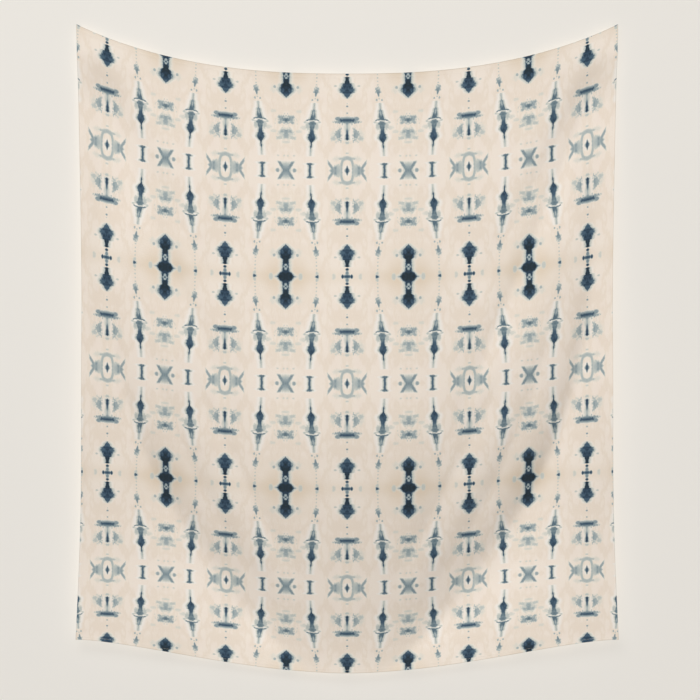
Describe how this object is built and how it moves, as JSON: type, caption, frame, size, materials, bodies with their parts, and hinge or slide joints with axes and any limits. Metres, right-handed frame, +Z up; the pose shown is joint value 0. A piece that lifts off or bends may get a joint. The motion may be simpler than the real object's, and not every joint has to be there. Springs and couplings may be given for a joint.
{
  "type": "shibori dyed cloth wall hanging",
  "caption": "Rectangular cream cotton hanging with a mirrored indigo shibori pattern, held at its upper corners, its top edge sagging and its middle bellying in soft swag folds.",
  "frame": {"origin": "halfway between the two upper corners, on the plane that the cloth hangs against", "axes": "+Z up, +X across the cloth to the right of someone facing it, -Y out of its face"},
  "size_m": [1.3448, 0.0781, 1.6085],
  "materials": {
    "dyed_cotton": "matt plain weave, cream with indigo dye"
  },
  "bodies": {
    "root": {"cloth": "dyed_cotton"}
  },
  "joints": []
}
